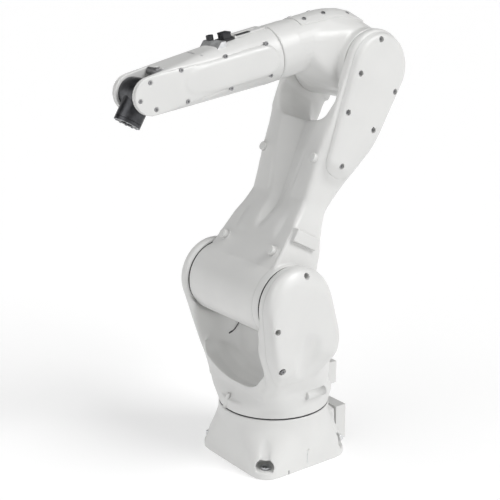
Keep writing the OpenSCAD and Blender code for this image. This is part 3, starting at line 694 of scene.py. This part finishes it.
def valley_foot(p):
    """Soft zone: the lower end of the valley."""
    q = local(p, ARM)
    front = smoothstep(q[:, 0], 16, 26) * (1 - smoothstep(np.abs(q[:, 1]), 50, 58))
    return front * smoothstep(q[:, 2], 84, 96) * (1 - smoothstep(q[:, 2], 150, 185))


def arm_back(p):
    """Soft zone: the back of the upper arm."""
    q = local(p, ARM)
    along = (1 - smoothstep(q[:, 0], -28, -12)) * smoothstep(q[:, 2], 100, 130)
    return along * (1 - smoothstep(q[:, 2], 300, 340))


# The egg-shaped turret cover: circles (x, z, radius) of its rim and of its face, with their foot,
# and the shoulder between them as (share of the way, y).
RIM = [(52, 332, 70.4), (39, 262, 76.5), (44, 226, 60), (44, 196, 50)]
FACE = [(50, 306, 67), (40, 262, 69), (46, 226, 55), (44, 196, 44)]
SHOULDER = [(0.0, 125.0), (0.0, 131.0), (0.03, 134.5), (0.12, 138.0), (0.28, 141.3), (0.5, 144.6),
            (0.72, 147.3), (0.88, 149.0), (1.0, 149.9), (1.12, 150.3), (1.3, 150.4)]
EGG = shoulder_mesh(RIM, FACE, [(0, 114), (0, 122)] + SHOULDER, egg_bend)
EGG_FOOT = shoulder_mesh(RIM[1:], FACE[1:], [(0, 97), (0, 110)] + SHOULDER, egg_bend)

# The belt cover on the arm: its circles, and its edge as (inset, y).
BELT = [(-4, 442, 62), (-16, 316, 45), (-6, 258, 34)]
BELT_EDGE = [(1.0, 84), (0.3, 87), (0, 89), (0.5, 91.4), (1.6, 93.8), (3.6, 95.9), (6.6, 97.3), (10, 97.9)]
BELT_COVER = dome_mesh(BELT, BELT_EDGE, ARM, bend=belt_bend)

FINE, FINER, FINEST = 0.0016, 0.0015, 0.0012    # voxel sizes in metres

cast("base_casting", FINE, 8, [(base_walls, 60)], cuts=pocket_cuts(), adds=pocket_backs())
turret = cast("turret_casting", FINE, 8, [(outer_turret, 80)],
              adds=[waist_mesh(), lip_mesh(), EGG, EGG_FOOT])
arm = cast("upper_arm_casting", FINE, 8,
           [(fork_edges, 30), (arm_sides, 90), (arm_back, 120), (valley_foot, 70)],
           cuts=[crotch_mesh()], adds=[valley_mesh(), BELT_COVER])
cast("forearm_casting", FINER, 5)
cast("elbow_housing", FINE, 6)


# The forearm's side covers. Their own pods are circles OLD_POD; POD is the softer one put there.
OLD_POD = [(356, 2, 15), (280, 1, 25), (224, 1, 25)]
POD = [(350, 1.5, 20.5), (314, 1, 23.5), (224, 1, 24), (206, 1, 23.5)]
POD_EDGE = [(-4, 0), (-3.6, 0.2), (-2.7, 0.42), (-1.2, 0.64), (1, 0.82), (4, 0.93), (8, 0.985), (12, 1.0)]
COVER_END, COVER_TAPER = 392, 0.052     # the covers get thinner towards their front end


def pill_distance(x, z, circles):
    """Distance outside a chain of circles (x, z, radius)."""
    best = np.full(len(x), np.inf)
    for (x0, z0, r0), (x1, z1, r1) in zip(circles, circles[1:]):
        dx, dz = x1 - x0, z1 - z0
        t = np.clip(((x - x0) * dx + (z - z0) * dz) / (dx * dx + dz * dz), 0, 1)
        best = np.minimum(best, np.hypot(x - x0 - t * dx, z - z0 - t * dz) - (r0 + (r1 - r0) * t))
    return best


def pod_mesh(side):
    """Soft-edged pod on a side cover: its outline rises out of the cover in an S."""

    def place(ring):
        """POD_EDGE's 0..1 becomes the way from just under the cover to the pod's face."""
        base = 32.6 + (COVER_END - ring[:, 0]) * COVER_TAPER
        face = 41.5 + (356 - ring[:, 0]) * 0.062
        out = ring.copy()
        out[:, 1] = side * (base - 2.5 + ring[:, 1] * (face - base + 2.5))
        return out

    return dome_mesh(POD, POD_EDGE, FORE, bend=place)


def pod_room(side):
    """Takes away the cover's own sharp-edged pod, down to the cover and out to y = 62."""
    flat = circle_hull([(x, z, r + 0.6) for x, z, r in OLD_POD], 96)
    base = 33.2 + (COVER_END - flat[:, 0]) * COVER_TAPER
    near, far = (np.column_stack([flat[:, 0], side * (base + share * (62 - base)), flat[:, 1]])
                 for share in (0, 1))
    return loft([near, far], FORE)


def pod_zone(p):
    """Soft zone: the pod and a band round it."""
    q = local(p, FORE)
    near = 1 - smoothstep(pill_distance(q[:, 0], q[:, 2], POD), 5, 11)
    return near * smoothstep(np.abs(q[:, 1]), 31, 34)


for node, side in (("forearm_left_cover", 1), ("forearm_right_cover", -1)):
    cast(node, FINEST, 2, [(pod_zone, 14)], cuts=[pod_room(side)], adds=[pod_mesh(side)])


def split_cover(casting, name, node, offset, matrix=Matrix()):
    """Parts a cover from its casting along a plane across local Y, and closes both halves."""
    half_gap = 0.25
    normal = matrix.to_3x3() @ Vector((0, 1, 0))
    halves = []
    for keep in (-1, 1):
        bm = bmesh.new()
        bm.from_mesh(casting.data)
        cut = bmesh.ops.bisect_plane(
            bm, geom=bm.verts[:] + bm.edges[:] + bm.faces[:],
            plane_co=matrix @ Vector((0, (offset + keep * half_gap) / MM_PER_M, 0)), plane_no=normal,
            clear_outer=keep < 0, clear_inner=keep > 0)
        rim = [e for e in cut["geom_cut"] if isinstance(e, bmesh.types.BMEdge)]
        bmesh.ops.triangle_fill(bm, edges=rim, use_beauty=False, normal=-keep * normal)
        for e in rim:
            e.smooth = False
        mesh = bpy.data.meshes.new(name)
        bm.to_mesh(mesh)
        bm.free()
        halves.append(mesh)
    casting.data = halves[0]
    cover = new_object(name, halves[1])
    for o in (casting, cover):
        paint(o, SLOT_OF[node])
    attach(cover, NODES[node]["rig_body"])
    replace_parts(cover, node)
    return cover


egg = split_cover(turret, "turret_cover", "turret_left_cover", 124.3)
EGG_BORES = ((95, 136, 227, 6.2), (109, 126, 303, 5.6), (43, 126, 388, 5.6))     # x, y, z, radius
carve(egg, [rod_mesh((x, y, z), (x, 160, z), r, r) for x, y, z, r in EGG_BORES])

belt = split_cover(arm, "arm_belt_cover", "belt_cover", 88.0, ARM)
BELT_BORES = ((-54, 420), (-40, 340), (-4, 256), (30, 344), (38, 414), (24, 485))     # x, z
carve(belt, [moved(rod_mesh((x, 92.2, z), (x, 110, z), 5.4, 5.4), ARM) for x, z in BELT_BORES])
for o in (egg, belt):
    o.data.set_sharp_from_angle(angle=math.radians(40))

CAP_EDGE = [(0.6, 87.3), (0, 88.2), (0, 90), (0.8, 92.4), (2.4, 94.8), (5, 96.8), (9, 97.8)]
cap = piece("elbow_cap_dome", dome_mesh([(0, 445, 60)], CAP_EDGE, ARM, crown=0.2, side=-1),
            "white_paint", "upper_arm")
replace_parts(cap, "elbow_right_cap")


# ---------------------------------------------------------------- details on the castings

# Turret
piece("hose_rest_rib", rod_mesh((-32, 106.5, 148), (10, 106.5, 148), 8.6, 8.6, 48, 1.6),
      "white_paint", "turret")

RING_STOP = [((100.5, -13.5), 107.6, 7.2), ((101, -10.5), 118, 6.0), ((100.6, -7.5), 129, 4.6),
             ((100.2, -5.6), 136, 3.6), ((100, -5.4), 138, 2.2)]    # centre, height, radius
piece("ring_stop", loft([circle_ring(*row) for row in RING_STOP]), "white_paint", "turret")

# Small marks and fittings on the base: ends, radius and material
for name, a, b, r, slot in (("base_datum_line", (1.5, 103.8, 11), (1.5, 103.8, 36), 1.1, "grey_metal"),
                            ("base_datum_nub", (-1.5, 102, 35), (-1.5, 105.6, 35), 2.6, "white_paint"),
                            ("base_edge_mark", (45, 103.9, 1.5), (45, 103.9, 9), 1.2, "dark_screws"),
                            ("base_corner_nub", (99.6, -76.4, 27), (99.6, -76.4, 36), 2.6, "grey_metal"),
                            ("base_earth_fitting", (-114, 52, 12), (-114, 66, 12), 6.2, "grey_metal")):
    piece(name, rod_mesh(a, b, r, r, 32, 0.6), slot, "base")

# Forearm
piece("service_plate_slot", box_mesh((209, 6.5, 48.4), (238, 15.5, 49.8), FORE),
      "black_plastic", "forearm", bevel=0.0005)
piece("forearm_top_step", moved(rod_mesh((321, -10, 39.1), (321, 29, 37.0), 1.4, 1.4, 24), FORE),
      "grey_metal", "forearm")
# A dark grey bar across the forearm's front opening: painted shade where that hollow lies in shadow.
piece("forearm_opening_painted_shade", moved(rod_mesh((391, -25, 26.4), (391, 25, 26.4), 6.8, 6.8, 48), FORE),
      "dark_screws", "forearm")

# Pins round the flange's edge
PIN_CIRCLE = 20.4
for k in range(12):
    turn = math.pi * k / 6
    x, y = PIN_CIRCLE * math.cos(turn), PIN_CIRCLE * math.sin(turn)
    pin = rod_mesh((x, y, 49), (x, y, 53.2), 1.8, 1.8, 20, 0.5)
    piece(f"flange_pin_{k + 1}", moved(pin, WRIST), "bare_steel", "flange")

# Upper arm: a boss on each side at two heights, a pad, and two fittings behind
for index, (x, z) in enumerate(((55, 73), (46, 250))):
    for side in (-1, 1):
        y = side * 70.4
        boss = rod_mesh((x - 14, y, z), (x + 0.8, y, z), 9.6, 8.2, 48, 1.4)
        tag = f"{index + 1}_{'left' if side > 0 else 'right'}"
        piece("arm_boss_" + tag, moved(boss, ARM), "white_paint", "upper_arm")
piece("arm_side_pad", box_mesh((-20, 84, 101.5), (36.5, 99.6, 124.5), ARM),
      "white_paint", "upper_arm", bevel=0.0022)
for index, (x, y, z, r) in enumerate(((-66, 60, 78, 5.2), (-63, 60, 92, 4.0))):
    fitting = rod_mesh((x + 16, y, z), (x - 5, y, z), r, r * 0.85, 32, 1.2)
    piece(f"arm_rear_fitting_{index + 1}", moved(fitting, ARM), "dark_screws", "upper_arm")

# Dark seals in the base seam and the two shoulder seams, between their two faces
x, _, z = SHOULDER_AXIS
for name, a, b, r in (("turning_ring_seal", (0, 0, 105.0), (0, 0, 107.2), 103.2),
                      ("shoulder_seal_left", (x, 104.4, z), (x, 107, z), 65.2),
                      ("shoulder_seal_right", (x, -107, z), (x, -104.4, z), 65.2)):
    piece(name, rod_mesh(a, b, r, r, 120), "black_plastic", "turret")

# Steel ring at the bottom of each bolt pocket
SEAT = ((13.2, 9.6), (17.2, 9.6), (18.6, 8.4), (18.6, 5.6), (14.2, 5.2))    # height, radius
for sx, sy in CORNERS:
    tag = f"{'front' if sx > 0 else 'rear'}_{'left' if sy > 0 else 'right'}"
    seat = loft([circle_ring((sx * 80, sy * 80), z, r) for z, r in SEAT])
    piece("pocket_seat_" + tag, seat, "bare_steel", "base")

# Hook that holds the hoses, bent from a strip
HOOK = [((36, -60, 246), 1.5), ((37.5, -66, 236), 1.5), ((38.5, -74, 226), 1.9),
        ((39.5, -79, 221), 4.6), ((40.0, -84, 217), 5.6), ((38.0, -89, 215), 3.4)]     # centre, size
hook = piece("hose_hook", loft([strip_ring(*row) for row in HOOK]), "black_plastic", "turret")
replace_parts(hook, "cable_clip")


# ---------------------------------------------------------------- CAD nodes that stay

REPLACED = {n for o in bpy.data.objects if "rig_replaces" in o for n in o["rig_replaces"]}
SMALL_EDGE = (0.0004, 2)    # width of the rounding in metres, segments
WIDER_EDGES = {"rear_connector_box": (0.004, 4), "turret_rear_cover": (0.004, 4),
               "elbow_top_cover": (0.0018, 3), "base_bottom_plate": (0.0018, 3)}
for name, o in NODES.items():
    if name in REPLACED:
        continue
    paint(o, SLOT_OF[name])
    o.data.polygons.foreach_set("use_smooth", [True] * len(o.data.polygons))
    w = o.modifiers.new("Weld", "WELD")
    w.merge_threshold = 0.00001
    finish_edges(o, *WIDER_EDGES.get(name, SMALL_EDGE))


# ---------------------------------------------------------------- floor

HALF_FLOOR = 45.0
FLOOR_Z = -0.0005   # just under the base
floor_mesh = bpy.data.meshes.new("floor")
bm = bmesh.new()
bm.faces.new([bm.verts.new((x * HALF_FLOOR, y * HALF_FLOOR, FLOOR_Z))
              for x, y in ((-1, -1), (1, -1), (1, 1), (-1, 1))])
bm.to_mesh(floor_mesh)
bm.free()
floor = new_object("floor", floor_mesh)
floor_shader = Shader("floor", (0.60, 0.60, 0.60), 0.8)
floor_shader.set("Emission Color", (1, 1, 1, 1))
floor_shader.set("Emission Strength", 0.46)
floor_shader.set("Specular IOR Level", 0.1)
floor_shader.bump((floor_shader.noise(40, 3), 0.03, 0.001))
floor.data.materials.append(floor_shader.mat)
